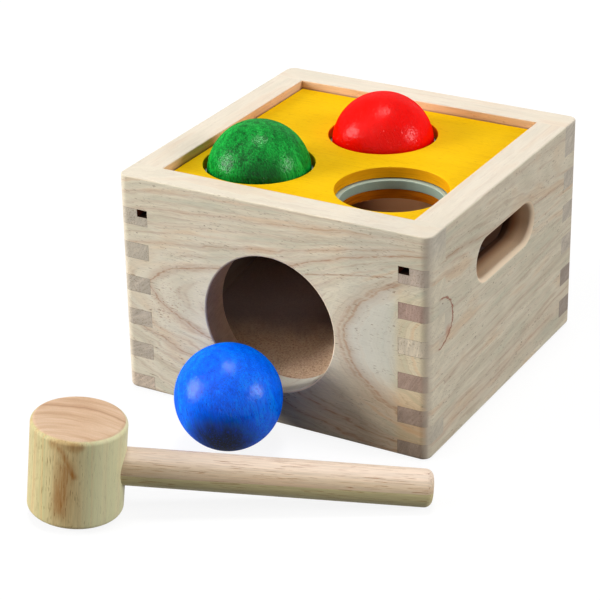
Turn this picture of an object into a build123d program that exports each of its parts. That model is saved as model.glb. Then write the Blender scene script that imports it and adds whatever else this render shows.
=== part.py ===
from build123d import *
import os
from math import asin, atan2, cos, degrees, hypot, radians, sin

# Ball pounding bench: an open wooden box with finger-jointed corners, a sunken yellow plate with
# three holes, rubber rings that grip the balls, a ramp that rolls a fallen ball out of the front,
# three stained balls and a mallet. Lengths are in millimetres. The origin is on the table in the
# middle of the box. +X is to the right, +Y to the back and +Z up, and the front face is at -Y.

# Panels
panel_thickness = 15.0
box_height = 107.0
corner_radius = 4.5
bottom_edge_radius = 2.0
rim_edge_radius = 0.7
inner_rim_radius = 0.5

# Finger joints, counted from the bottom, where the side panels have the first finger
finger_pitch = 16.75
side_finger_height = 7.9

# Balls
ball_radius = 24.0
blue_ball_gap = 2.0
blue_ball_x = -7.1

# Holes, rings and the layers of the sunken plate
hole_clearance = 1.7
lower_hole_clearance = 0.7
ring_grip = 0.3
ring_fit = 0.1
ring_lap = 1.05
ring_seat_clearance = 0.2
ring_headroom = 0.7
ring_edge_radius = 0.4
ball_seat_height = 1.6
rim_depth = 4.0
top_plate_thickness = 5.1
ring_frame_thickness = 5.1
lower_plate_thickness = 4.8
plate_gap = 0.4
plate_edge_radius = 0.4

# Wood left between the ring seats and round them
left_web = 3.05
middle_web = 14.1
right_web = 1.05
front_web = 7.05
row_web = 3.5
back_web = 9.65

# Grooves in the side panels, for the lower plate and the ramp
groove_depth = 5.3
groove_end_gap = 0.3
groove_clearance = 0.2

# Exit hole
exit_clearance = 8.6
exit_sill_height = 16.5
exit_shift = -1.0
exit_edge_radius = 0.8

# Hand slots
slot_length = 59.5
slot_height = 19.0
slot_below_rim = 22.7
slot_shift = -1.0
slot_edge_radius = 2.5
slot_inner_edge_radius = 1.0

# Ramp
ramp_thickness = 3.0
ramp_lip = 0.3
ramp_rise = 21.2

# Screws that clamp the three layers from below
screw_diameter = 3.0
screw_head_diameter = 5.6
screw_head_height = 1.7
screw_bite = 2.6
screw_point = 1.2
screw_inset = 7.5
screw_recess_width = 0.8
screw_recess_length = 3.2
screw_recess_depth = 0.9

# Mallet, which stands on its head with the far end of its handle on the table
head_radius = 20.4
head_length = 42.2
head_edge_radius = 2.2
handle_radius = 8.2
handle_reach = 149.6
handle_end_radius = 3.5
handle_socket_depth = 26.0
mallet_end_x = 95.3
mallet_end_gap = 30.6
mallet_heading = 29.2

# How far a cutter runs past the faces that it cuts
overrun = 2.0

# Sizes that follow from the ones above
hole_radius = ball_radius + hole_clearance
lower_hole_radius = ball_radius + lower_hole_clearance
ring_outer_radius = hole_radius + ring_lap
seat_radius = ring_outer_radius + ring_seat_clearance
ring_thickness = ring_frame_thickness - ring_headroom

inner_width = left_web + middle_web + right_web + 4 * seat_radius
inner_depth = front_web + row_web + back_web + 4 * seat_radius
box_width = inner_width + 2 * panel_thickness
box_depth = inner_depth + 2 * panel_thickness
front_face = -box_depth / 2

top_plate_top = box_height - rim_depth
ring_frame_top = top_plate_top - top_plate_thickness
lower_plate_top = ring_frame_top - ring_frame_thickness
lower_plate_bottom = lower_plate_top - lower_plate_thickness
ring_top = lower_plate_top + ring_thickness
ball_seat_z = ring_top + ball_seat_height

left_hole_x = -inner_width / 2 + left_web + seat_radius
right_hole_x = inner_width / 2 - right_web - seat_radius
front_row_y = -inner_depth / 2 + front_web + seat_radius
back_row_y = inner_depth / 2 - back_web - seat_radius
hole_places = {
    "front_left": (left_hole_x, front_row_y),
    "front_right": (right_hole_x, front_row_y),
    "back": ((left_hole_x + right_hole_x) / 2, back_row_y),
}

exit_radius = ball_radius + exit_clearance
exit_z = exit_sill_height + exit_radius
slot_z = box_height - slot_below_rim - slot_height / 2

ramp_front_z = exit_sill_height + ramp_lip
ramp_slope = atan2(ramp_rise, inner_depth)
groove_bed_width = inner_width + 2 * (groove_depth - groove_end_gap)

finger_rows = 1 + int((box_height - finger_pitch) / finger_pitch)


def outer_shell():
    """The box's four walls in one piece, with its outer and inner edges eased."""
    block = Pos(0, 0, box_height / 2) * Box(box_width, box_depth, box_height)
    block = fillet(block.edges().filter_by(Axis.Z), corner_radius)
    block = fillet(block.edges().group_by(Axis.Z)[0], bottom_edge_radius)
    block = fillet(block.edges().group_by(Axis.Z)[-1], rim_edge_radius)
    shell = block - Box(inner_width, inner_depth, 3 * box_height)
    rim_inside = [
        edge
        for edge in shell.edges().group_by(Axis.Z)[-1]
        if abs(edge.center().X) < inner_width / 2 + inner_rim_radius
        and abs(edge.center().Y) < inner_depth / 2 + inner_rim_radius
    ]
    return fillet(rim_inside, inner_rim_radius)


def corner_fingers(x_side, y_side):
    """The side panel's fingers in one corner of the box, over the full thickness of both walls."""
    x = x_side * (box_width - panel_thickness) / 2
    y = y_side * (box_depth - panel_thickness) / 2
    finger = Box(panel_thickness, panel_thickness, side_finger_height)
    return [
        Pos(x, y, row * finger_pitch + side_finger_height / 2) * finger
        for row in range(finger_rows)
    ]


def end_wall(shell, y_side):
    """The front or back panel, notched at its corners for the side panels' fingers."""
    y = y_side * (box_depth - panel_thickness) / 2
    region = Pos(0, y, box_height / 2) * Box(box_width, panel_thickness, box_height)
    for x_side in (-1, 1):
        region -= corner_fingers(x_side, y_side)
    return shell & region


def side_wall(shell, x_side):
    """The left or right panel with its fingers, before its grooves and hand slot."""
    x = x_side * (box_width - panel_thickness) / 2
    region = Pos(x, 0, box_height / 2) * Box(panel_thickness, inner_depth, box_height)
    for y_side in (-1, 1):
        region += corner_fingers(x_side, y_side)
    return shell & region


def front_panel(shell):
    """The front wall with its round exit hole, eased on both faces."""
    cutter = Cylinder(exit_radius, panel_thickness + 2 * overrun, rotation=(90, 0, 0))
    y = front_face + panel_thickness / 2
    panel = end_wall(shell, -1) - Pos(exit_shift, y, exit_z) * cutter
    exit_edges = [
        edge
        for edge in panel.edges().filter_by(GeomType.CIRCLE)
        if abs(edge.radius - exit_radius) < exit_edge_radius / 2
    ]
    return fillet(exit_edges, exit_edge_radius)


def back_panel(shell):
    """The plain back wall."""
    return end_wall(shell, 1)


def ramp_outline(extra_top, square_ends):
    """The ramp's section in the YZ plane: the board, or the groove that it slides into."""
    half = inner_depth / 2
    rise = ramp_rise / inner_depth
    drop = ramp_thickness / cos(ramp_slope)
    if square_ends:
        front = -half + groove_end_gap
        lean = ramp_thickness * sin(ramp_slope)
        back = half - groove_end_gap - lean
        front_z = ramp_front_z + (front + half) * rise
        back_z = ramp_front_z + (back + half) * rise
        fall = ramp_thickness * cos(ramp_slope)
        return Polyline(
            (front, front_z),
            (back, back_z),
            (back + lean, back_z - fall),
            (front + lean, front_z - fall),
            close=True,
        )
    return Polyline(
        (-half, ramp_front_z + extra_top),
        (half, ramp_front_z + ramp_rise + extra_top),
        (half, ramp_front_z + ramp_rise - drop),
        (-half, ramp_front_z - drop),
        close=True,
    )


def ramp_solid(width, extra_top, square_ends):
    """The ramp's section, extruded to a width and centred on the box."""
    face = make_face(Plane.YZ * ramp_outline(extra_top, square_ends))
    return extrude(face, width / 2, both=True)


def hand_slot(x_side):
    """A stadium-shaped cutter right through one side panel."""
    plane = Plane((x_side * box_width / 2, slot_shift, slot_z), x_dir=(0, 1, 0), z_dir=(1, 0, 0))
    outline = plane * SlotOverall(slot_length, slot_height)
    return extrude(outline, panel_thickness + overrun, both=True)


def slot_edges(panel, x):
    """The hand slot's edges on the face of a side panel that lies at x."""
    found = []
    for edge in panel.edges():
        place = edge.center()
        on_face = abs(place.X - x) < rim_edge_radius / 10
        inside_y = abs(place.Y - slot_shift) < (slot_length + slot_edge_radius) / 2
        inside_z = abs(place.Z - slot_z) < (slot_height + slot_edge_radius) / 2
        if on_face and inside_y and inside_z:
            found.append(edge)
    return found


def side_panel(shell, x_side):
    """A side wall with its fingers, the two grooves inside and the rounded hand slot."""
    panel = side_wall(shell, x_side)
    plate_groove_height = lower_plate_thickness + groove_clearance
    groove_width = inner_width + 2 * groove_depth
    plate_groove = Box(groove_width, box_depth + 2 * overrun, plate_groove_height)
    panel -= Pos(0, 0, lower_plate_bottom + plate_groove_height / 2) * plate_groove
    panel -= ramp_solid(groove_width, groove_clearance, square_ends=False)
    panel -= hand_slot(x_side)
    outer_face = x_side * box_width / 2
    inner_face = x_side * inner_width / 2
    panel = fillet(slot_edges(panel, outer_face), slot_edge_radius)
    return fillet(slot_edges(panel, inner_face), slot_inner_edge_radius)


def holed_plate(width, depth, bottom, thickness, radius):
    """A flat layer that fills the box's inside, with a round hole at each ball's place."""
    plate = Box(width, depth, thickness)
    for x, y in hole_places.values():
        plate -= Pos(x, y, 0) * Cylinder(radius, thickness + 2 * overrun)
    return Pos(0, 0, bottom + thickness / 2) * plate


def screw_places():
    """The four corners where a screw clamps the layers."""
    x = inner_width / 2 - screw_inset
    y = inner_depth / 2 - screw_inset
    return [(x_side * x, y_side * y) for x_side in (-1, 1) for y_side in (-1, 1)]


def screw_blank():
    """A countersunk screw without its recess, head down, with its head's face at zero."""
    radius = screw_diameter / 2
    tip = lower_plate_thickness + ring_frame_thickness + screw_bite
    profile = Polyline(
        (0, 0),
        (screw_head_diameter / 2, 0),
        (radius, screw_head_height),
        (radius, tip - screw_point),
        (0, tip),
        close=True,
    )
    return revolve(make_face(Plane.XZ * profile), Axis.Z)


def screws(with_recess):
    """The four screws in their places under the lower plate."""
    screw = screw_blank()
    if with_recess:
        depth = 2 * screw_recess_depth
        screw -= Box(screw_recess_length, screw_recess_width, depth)
        screw -= Box(screw_recess_width, screw_recess_length, depth)
    return [Pos(x, y, lower_plate_bottom) * screw for x, y in screw_places()]


def top_plate():
    """The yellow plate that shows, with its edges and the upper edges of its holes eased."""
    width = inner_width - 2 * plate_gap
    depth = inner_depth - 2 * plate_gap
    plate = holed_plate(width, depth, ring_frame_top, top_plate_thickness, hole_radius)
    plate = fillet(plate.edges().group_by(Axis.Z)[-1], plate_edge_radius)
    return plate - screws(with_recess=False)


def ring_frame():
    """The layer between the yellow plates, with a seat round each rubber ring."""
    width = inner_width - 2 * plate_gap
    depth = inner_depth - 2 * plate_gap
    frame = holed_plate(width, depth, lower_plate_top, ring_frame_thickness, seat_radius)
    return frame - screws(with_recess=False)


def lower_plate():
    """The plate that carries the rings and slides into the side panels' upper grooves."""
    depth = inner_depth - 2 * groove_end_gap
    thickness = lower_plate_thickness
    plate = holed_plate(groove_bed_width, depth, lower_plate_bottom, thickness, lower_hole_radius)
    return plate - screws(with_recess=False)


def rubber_ring(place, inner_radius):
    """A flat rubber ring on the lower plate. A ring that grips a ball is stretched to its size."""
    x, y = hole_places[place]
    ring = Cylinder(ring_outer_radius, ring_thickness)
    ring -= Cylinder(inner_radius, ring_thickness + 2 * overrun)
    ring = fillet(ring.edges().filter_by(GeomType.CIRCLE), ring_edge_radius)
    return Pos(x, y, lower_plate_top + ring_thickness / 2) * ring


def ramp_board():
    """The hardboard ramp, which falls to the front and ends just above the exit hole's sill."""
    return ramp_solid(groove_bed_width, 0, square_ends=True)


def seated_ball(place):
    """A ball gripped by the rubber ring of one hole."""
    x, y = hole_places[place]
    return Pos(x, y, ball_seat_z) * Sphere(ball_radius)


def blue_ball():
    """The ball that has rolled out and lies on the table in front of the exit hole."""
    y = front_face - blue_ball_gap - ball_radius
    return Pos(blue_ball_x, y, ball_radius) * Sphere(ball_radius)


def mallet_place():
    """Where the mallet lies: on the lower edge of its head and on the end of its handle."""
    head_x = head_radius - head_edge_radius
    head_z = -head_length / 2 + head_edge_radius
    end_x = handle_reach - handle_end_radius
    end_z = -handle_radius + handle_end_radius
    span = hypot(end_x - head_x, end_z - head_z)
    chord = atan2(end_z - head_z, end_x - head_x)
    tilt = chord - asin((handle_end_radius - head_edge_radius) / span)
    height = head_edge_radius + sin(tilt) * head_x - cos(tilt) * head_z
    heading = radians(mallet_heading)
    reach = handle_reach * cos(tilt)
    x = mallet_end_x - reach * cos(heading)
    y = front_face - mallet_end_gap - reach * sin(heading)
    return Pos(x, y, height) * Rot(0, 0, mallet_heading) * Rot(0, degrees(tilt), 0)


def handle_start():
    """How far the handle's inner end lies from the head's axis, measured towards the handle."""
    return head_radius - handle_socket_depth


def mallet_head():
    """The wooden cylinder with eased rims and a blind socket for the handle."""
    head = Cylinder(head_radius, head_length)
    rims = head.edges().filter_by(GeomType.CIRCLE)
    head = fillet(rims, head_edge_radius)
    socket_length = handle_socket_depth + overrun
    socket = Cylinder(handle_radius, socket_length, rotation=(0, 90, 0))
    return mallet_place() * (head - Pos(handle_start() + socket_length / 2, 0, 0) * socket)


def mallet_handle():
    """The round handle, glued into the head's socket and rounded at its far end."""
    length = handle_reach - handle_start()
    handle = Cylinder(handle_radius, length, rotation=(0, 90, 0))
    far_end = handle.edges().filter_by(GeomType.CIRCLE).sort_by(Axis.X)[-1]
    handle = fillet(far_end, handle_end_radius)
    return mallet_place() * (Pos(handle_start() + length / 2, 0, 0) * handle)


shell = outer_shell()
nodes = {
    "front_panel": front_panel(shell),
    "back_panel": back_panel(shell),
    "left_panel": side_panel(shell, -1),
    "right_panel": side_panel(shell, 1),
    "lower_plate": lower_plate(),
    "ring_frame": ring_frame(),
    "top_plate": top_plate(),
    "front_left_ring": rubber_ring("front_left", ball_radius + ring_fit),
    "front_right_ring": rubber_ring("front_right", ball_radius - ring_grip),
    "back_ring": rubber_ring("back", ball_radius + ring_fit),
    "plate_screws": Compound(children=screws(with_recess=True)),
    "ramp_board": ramp_board(),
    "green_ball": seated_ball("front_left"),
    "red_ball": seated_ball("back"),
    "blue_ball": blue_ball(),
    "mallet_head": mallet_head(),
    "mallet_handle": mallet_handle(),
}

os.makedirs("parts", exist_ok=True)
for name, solid in nodes.items():
    export_step(solid, os.path.join("parts", name + ".step"))
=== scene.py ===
import math

import bpy
from mathutils import Euler, Matrix, Vector

# Ball pounding bench: looks, light and camera. The shapes all come from the frame.
# Places and lengths inside the materials are in millimetres, in the frame's own axes.

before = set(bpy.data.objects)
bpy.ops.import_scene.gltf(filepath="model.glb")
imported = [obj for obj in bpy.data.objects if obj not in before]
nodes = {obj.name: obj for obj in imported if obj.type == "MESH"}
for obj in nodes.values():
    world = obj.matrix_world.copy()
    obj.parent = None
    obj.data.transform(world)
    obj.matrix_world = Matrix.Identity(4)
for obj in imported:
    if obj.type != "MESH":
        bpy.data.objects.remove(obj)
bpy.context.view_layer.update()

MM_PER_METRE = 1000

# Colours and node helpers


def srgb(red, green, blue):
    """A colour given as it looks on the screen, 0 to 255, as the shader wants it."""
    parts = []
    for value in (red, green, blue):
        share = value / 255
        parts.append(share / 12.92 if share <= 0.04045 else ((share + 0.055) / 1.055) ** 2.4)
    return (*parts, 1.0)


class Paint:
    """One procedural material. Its methods take sockets or plain numbers and return sockets.
    place is the point on the surface, x, y and z are its parts, normal is where it looks, and
    colour is the colour so far."""

    def __init__(self, name, level=0.15):
        """level is how strongly the bare surface mirrors."""
        self.material = bpy.data.materials.new(name)
        self.material.use_nodes = True
        self.tree = self.material.node_tree
        self.tree.nodes.clear()
        self.shader = self.tree.nodes.new("ShaderNodeBsdfPrincipled")
        output = self.tree.nodes.new("ShaderNodeOutputMaterial")
        self.tree.links.new(self.shader.outputs[0], output.inputs[0])
        self.shader.inputs["Specular IOR Level"].default_value = level
        coords = self.tree.nodes.new("ShaderNodeTexCoord")
        self.normal = coords.outputs["Normal"]
        self.place = self.scale(coords.outputs["Object"], MM_PER_METRE)
        self.x, self.y, self.z = self.split(self.place)
        self.colour = None

    def feed(self, socket, value):
        """Links a socket to the input, or sets the input to a plain value."""
        if isinstance(value, bpy.types.NodeSocket):
            self.tree.links.new(value, socket)
        else:
            socket.default_value = value

    def math(self, operation, first, second=None, clamp=False):
        node = self.tree.nodes.new("ShaderNodeMath")
        node.operation = operation
        node.use_clamp = clamp
        self.feed(node.inputs[0], first)
        if second is not None:
            self.feed(node.inputs[1], second)
        return node.outputs[0]

    def chain(self, operation, values):
        """One operation over any number of values, from the first to the last."""
        total = values[0]
        for value in values[1:]:
            total = self.math(operation, total, value)
        return total

    def add(self, *values):
        return self.chain("ADD", values)

    def mul(self, *values):
        return self.chain("MULTIPLY", values)

    def most(self, *values):
        return self.chain("MAXIMUM", values)

    def sub(self, first, second):
        return self.math("SUBTRACT", first, second)

    def div(self, first, second):
        return self.math("DIVIDE", first, second)

    def inverse(self, value):
        return self.math("SUBTRACT", 1, value)

    def size(self, value):
        return self.math("ABSOLUTE", value)

    def reach(self, first, second, least=None):
        """Length of the diagonal over two sides. least keeps it over zero."""
        squares = [self.mul(first, first), self.mul(second, second)]
        if least is not None:
            squares.append(least)
        return self.math("SQRT", self.add(*squares))

    def swing(self, pattern, amount):
        """A pattern from 0 to 1 as a change round zero."""
        return self.mul(self.sub(pattern, 0.5), amount)

    def scale(self, vector, factor):
        node = self.tree.nodes.new("ShaderNodeVectorMath")
        node.operation = "SCALE"
        self.feed(node.inputs[0], vector)
        self.feed(node.inputs["Scale"], factor)
        return node.outputs[0]

    def vector(self, operation, first, second):
        node = self.tree.nodes.new("ShaderNodeVectorMath")
        node.operation = operation
        self.feed(node.inputs[0], first)
        self.feed(node.inputs[1], second)
        return node.outputs["Value"] if operation in ("DOT_PRODUCT", "DISTANCE") else node.outputs[0]

    def split(self, vector):
        node = self.tree.nodes.new("ShaderNodeSeparateXYZ")
        self.feed(node.inputs[0], vector)
        return tuple(node.outputs)

    def join(self, x, y, z):
        node = self.tree.nodes.new("ShaderNodeCombineXYZ")
        for socket, value in zip(node.inputs, (x, y, z)):
            self.feed(socket, value)
        return node.outputs[0]

    def turned(self, vector, origin, angles):
        """The place in the axes of a piece that stands at origin, turned by Euler angles."""
        node = self.tree.nodes.new("ShaderNodeMapping")
        node.vector_type = "TEXTURE"
        self.feed(node.inputs["Vector"], vector)
        node.inputs["Location"].default_value = origin
        node.inputs["Rotation"].default_value = angles
        return node.outputs[0]

    def noise(self, sizes, spot=None, detail=2.0, rough=0.5, shift=0.0):
        """Smooth noise from 0 to 1 whose features are about as large as sizes, in mm. It lies
        over spot or else over place. Each shift gives a pattern of its own."""
        spot = self.place if spot is None else spot
        spot = self.vector("MULTIPLY", spot, tuple(1 / size for size in sizes))
        if shift:
            spot = self.vector("ADD", spot, (shift, shift * 1.7, shift * 0.6))
        node = self.tree.nodes.new("ShaderNodeTexNoise")
        self.feed(node.inputs["Vector"], spot)
        node.inputs["Scale"].default_value = 1.0
        node.inputs["Detail"].default_value = detail
        node.inputs["Roughness"].default_value = rough
        return node.outputs["Fac"]

    def step(self, value, low, high, start=0.0, end=1.0):
        """Goes softly from start, up to low, to end, from high on."""
        node = self.tree.nodes.new("ShaderNodeMapRange")
        node.interpolation_type = "SMOOTHSTEP"
        self.feed(node.inputs["Value"], value)
        self.feed(node.inputs["From Min"], low)
        self.feed(node.inputs["From Max"], high)
        self.feed(node.inputs["To Min"], start)
        self.feed(node.inputs["To Max"], end)
        return node.outputs["Result"]

    def fade(self, value, low, high, start=1.0):
        """Goes softly from start, up to low, to 0, from high on."""
        return self.step(value, low, high, start=start, end=0.0)

    def band(self, value, middle, half_width):
        """1 where value is at the middle, falling softly to 0 at half_width either side."""
        return self.fade(self.size(self.sub(value, middle)), 0.0, half_width)

    def within(self, value, low, high, soft=0.2):
        """1 between low and high, falling to 0 over the length soft outside them."""
        middle, half = (low + high) / 2, (high - low) / 2
        return self.fade(self.size(self.sub(value, middle)), half, half + soft)

    def mix(self, factor, first, second, mode="MIX"):
        """Goes from the first colour, at factor 0, to the second, at factor 1."""
        node = self.tree.nodes.new("ShaderNodeMix")
        node.data_type = "RGBA"
        node.blend_type = mode
        factor_input, first_colour, second_colour, colour_output = 0, 6, 7, 2
        self.feed(node.inputs[factor_input], factor)
        self.feed(node.inputs[first_colour], first)
        self.feed(node.inputs[second_colour], second)
        return node.outputs[colour_output]

    def lay(self, amount, colour):
        """Lays a colour over the colour so far."""
        self.colour = self.mix(amount, self.colour, colour)

    def tint(self, colour, factors):
        """The colour times a factor for each of red, green and blue."""
        return self.mix(1.0, colour, (*factors, 1), "MULTIPLY")

    def vary(self, tone):
        """Makes the colour so far lighter or darker by the factor tone."""
        self.colour = self.shade(self.colour, tone)

    def shade(self, colour, tone):
        """The colour made lighter or darker by the factor tone."""
        return self.mix(1.0, colour, self.join(tone, tone, tone), "MULTIPLY")

    def ramp(self, value, stops, steps=False):
        """A colour ramp over value, from stops of (value, colour) in rising order."""
        low, high = stops[0][0], stops[-1][0]
        share = self.math("DIVIDE", self.sub(value, low), high - low, clamp=True)
        node = self.tree.nodes.new("ShaderNodeValToRGB")
        node.color_ramp.interpolation = "CONSTANT" if steps else "LINEAR"
        elements = node.color_ramp.elements
        elements.remove(elements[-1])
        elements[0].position = 0.0
        elements[0].color = stops[0][1]
        for at, colour in stops[1:]:
            elements.new((at - low) / (high - low)).color = colour
        self.feed(node.inputs[0], share)
        return node.outputs[0]

    def tones(self, value, colours, places=(0.3, 0.5, 0.7)):
        """A colour ramp over value, from its colours and the places where they are."""
        return self.ramp(value, list(zip(places, colours)))

    def along(self, axis):
        """How far the surface looks along an axis, either way: 0 for sideways, 1 for straight."""
        return self.size(self.vector("DOT_PRODUCT", self.normal, axis))

    def facing(self, axis, low=0.5, high=0.8):
        """1 where the surface looks along an axis, 0 where it is turned away from it."""
        return self.step(self.along(axis), low, high)

    def near_line(self, spot, start, end):
        """Distance in mm from the straight line between two points."""
        span = Vector(end) - Vector(start)
        away = self.vector("SUBTRACT", spot, start)
        reach = self.vector("DOT_PRODUCT", away, tuple(span))
        share = self.math("DIVIDE", reach, span.length_squared, clamp=True)
        return self.vector("DISTANCE", away, self.scale(tuple(span), share))

    def vessels(self, vector, length, width, least, shift=0.0):
        """Short dark vessels along the first axis of vector: 1 in a vessel, 0 elsewhere."""
        softness = 0.06
        grain = self.noise((length, width, width), vector, detail=1.0, rough=0.6, shift=shift)
        return self.step(grain, least, least + softness)

    def lacquer(self, weight, roughness):
        """A thin hard gloss, whose reflection hardly grows towards the outline."""
        hard_gloss_index = 2.5
        self.shader.inputs["Coat Weight"].default_value = weight
        self.shader.inputs["Coat IOR"].default_value = hard_gloss_index
        self.shader.inputs["Coat Roughness"].default_value = roughness

    def bump(self, height, depth, strength=0.6):
        """Roughens the surface by the height pattern, depth mm at most."""
        node = self.tree.nodes.new("ShaderNodeBump")
        node.inputs["Strength"].default_value = strength
        node.inputs["Distance"].default_value = depth / MM_PER_METRE
        self.feed(node.inputs["Height"], height)
        self.tree.links.new(node.outputs[0], self.shader.inputs["Normal"])
        self.tree.links.new(node.outputs[0], self.shader.inputs["Coat Normal"])

    def finish(self, roughness):
        """Gives the shader its colour and roughness, and returns the material."""
        self.feed(self.shader.inputs["Base Color"], self.colour)
        self.feed(self.shader.inputs["Roughness"], roughness)
        return self.material


def dress(name, material):
    """Gives a CAD node its material."""
    for slot in nodes[name].material_slots:
        slot.material = material


# The box: its sizes as the frame has them

ALONG_X, ALONG_Y, ALONG_Z = (1, 0, 0), (0, 1, 0), (0, 0, 1)
box_half_width, box_half_depth = 78.0, 79.0
inner_half_width, inner_half_depth = 63.0, 64.0
finger_pitch, finger_height = 16.75, 7.9
plate_top, plate_bottom = 103.0, 88.0
groove_side, groove_top = 68.3, 91.65
exit_x, exit_z, exit_radius = -1.0, 49.1, 32.6
slot_y, slot_z, slot_half_straight, slot_reach = -1.0, 74.8, 21.0, 9.5

# Wood tones

COOL, MIDDLE = srgb(212, 206, 184), srgb(221, 210, 187)
LIGHT, WARM = srgb(230, 219, 197), srgb(227, 206, 178)
BROWN, PORE = srgb(160, 100, 62), srgb(126, 98, 74)
# The second colour on the next line is painted shade, tinted orange as by light from the yellow plate;
# the third is a thin darker line at the foot of that wall.
RIM, RIM_WALL_SHADE, RIM_FOOT_LINE = srgb(221, 210, 195), srgb(214, 158, 104), srgb(120, 66, 28)
# The first colour on the next line is a painted highlight for rounded edges; the second is a painted
# sheen for the upright corners.
EDGE_HIGHLIGHT, CORNER_SHEEN, GLUE = srgb(255, 230, 198), srgb(236, 222, 202), srgb(104, 82, 66)
# The last colour on the next line is painted light for the ledge at the bottom of the exit hole.
HEART, EXIT_WALL, EXIT_LEDGE_LIGHT = srgb(212, 210, 198), srgb(190, 160, 130), srgb(255, 252, 234)
BARK, BARK_PATCH, BARK_BLOT = srgb(150, 82, 60), srgb(206, 196, 182), srgb(188, 132, 104)
# Painted shade for the inside of the plate's groove where it opens at the corners.
GROOVE_SHADE, GROOVE_WALL_SHADE = srgb(44, 30, 22), srgb(122, 66, 42)
# The last colour on the next line is painted shade for the dark inside of the box.
INSIDE_FRONT, INSIDE_BACK, INSIDE_SIDE_SHADE = srgb(150, 92, 58), srgb(236, 162, 106), srgb(74, 52, 44)
FRONT_TINT, SIDE_TINT, RIGHT_TINT = (0.99, 1.0, 0.975), (1.0, 0.99, 0.97), (0.94, 0.942, 0.934)
# The middle factor on the next line darkens and warms the front board's lower right: a painted shadow of
# the blue ball.
GREYER, BALL_SHADOW_TINT, YELLOWER = (0.87, 0.9, 0.93), (0.88, 0.8, 0.73), (1.05, 0.955, 0.82)

# End grain by height on the front and back boards, and row by row on the side boards

FRONT_END_STOPS = [(12, srgb(196, 186, 168)), (24, MIDDLE), (92, MIDDLE), (102, srgb(202, 193, 176))]
BACK_END_STOPS = [(33, srgb(162, 148, 136)), (41, srgb(196, 184, 168)), (107, srgb(204, 194, 178))]
LEFT_ROWS = [
    srgb(202, 184, 163), srgb(191, 178, 159), srgb(193, 180, 161),
    srgb(191, 179, 160), srgb(193, 182, 163), srgb(198, 187, 168),
]
RIGHT_ROWS = [
    srgb(158, 138, 120), srgb(166, 144, 127), srgb(168, 144, 128),
    srgb(206, 193, 170), srgb(172, 146, 132), srgb(186, 170, 154),
]

# Painted light and shade on the wall of a hand slot: light at the lip, darker by depth into the board

SLOT_WALL_SHADE_STOPS = [
    (1.5, srgb(250, 222, 190)),
    (6, srgb(240, 205, 165)),
    (9.5, srgb(178, 132, 98)),
    (12, srgb(80, 53, 38)),
    (15, srgb(46, 31, 24)),
]

# Brown ring lines: (ring value, half width in mm, strength). A 1 after them keeps the part over
# the arches' axis, a -1 the part under it. On the straight boards the value is a height in mm.

FRONT_MARKS = [
    (2.343, 0.6, 0.4, 1), (1.95, 0.45, 0.25, 1), (1.712, 0.6, 0.55, 1), (1.45, 0.45, 0.25, 1),
    (1.27, 0.6, 0.35, 1), (1.06, 0.45, 0.22, 1), (0.855, 0.6, 0.6, 1), (0.68, 0.45, 0.2, 1),
    (0.505, 0.65, 0.85), (0.2, 0.6, 0.2, 1), (-0.08, 0.8, 0.3, 1), (-0.785, 1.6, 0.6),
    (-0.874, 1.1, 0.75), (0.34, 0.6, 0.45, -1), (0.75, 0.6, 0.35, -1), (0.91, 0.65, 0.75, -1),
    (1.15, 0.5, 0.25, -1), (1.4, 0.6, 0.4, -1), (1.8, 0.5, 0.3, -1), (2.3, 0.5, 0.3, -1),
]
RIGHT_MARKS = [
    (105, 0.5, 0.3), (100, 0.4, 0.25), (96.5, 0.35, 0.25), (92.4, 0.5, 0.95),
    (88.5, 0.35, 0.25), (83.5, 0.4, 0.35), (77, 0.35, 0.25), (66, 0.35, 0.25),
    (58, 0.3, 0.2), (52, 0.35, 0.25), (45, 0.4, 0.3), (38, 0.3, 0.2),
    (33.6, 0.6, 0.6), (29, 0.45, 0.3), (22.5, 0.45, 0.3), (17, 0.3, 0.3),
    (14.2, 0.6, 0.5), (9.5, 1.2, 0.55), (4, 0.45, 0.3),
]
LEFT_MARKS = [
    (101, 0.5, 0.4), (94, 0.5, 0.7), (86, 0.5, 0.35), (79, 0.3, 0.2),
    (73, 0.5, 0.4), (61, 0.6, 0.7), (55, 0.3, 0.25), (50, 0.4, 0.3),
    (41, 0.6, 0.55), (30, 0.5, 0.35), (19, 0.7, 0.6), (8, 0.5, 0.4),
]
BACK_MARKS = [
    (103, 0.5, 0.4), (96, 0.3, 0.2), (90, 0.6, 0.65), (80, 0.5, 0.35),
    (69, 0.6, 0.55), (62, 0.3, 0.25), (55, 0.5, 0.4), (46, 0.5, 0.3),
    (37, 0.6, 0.7), (26, 0.5, 0.4), (16, 0.6, 0.55), (6, 0.5, 0.35),
]

# The arched rings of the front board, fitted to the photo. In the formulas, along is x over
# arch_length, and over is the height over the arches' axis, over arch_height.

arch_length, arch_height = 70, 50
axis_height, axis_slope, axis_bend = 52.3, -0.78, 3.3
spread, spread_slope, spread_bend = 1.7527, 0.296, 0.44
point_slope, point_bend, point_curve = -1, -0.947, -0.507
arch_skew, rings_per_mm_deep, ring_scale = 0.171, 0.02, 33.0


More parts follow.
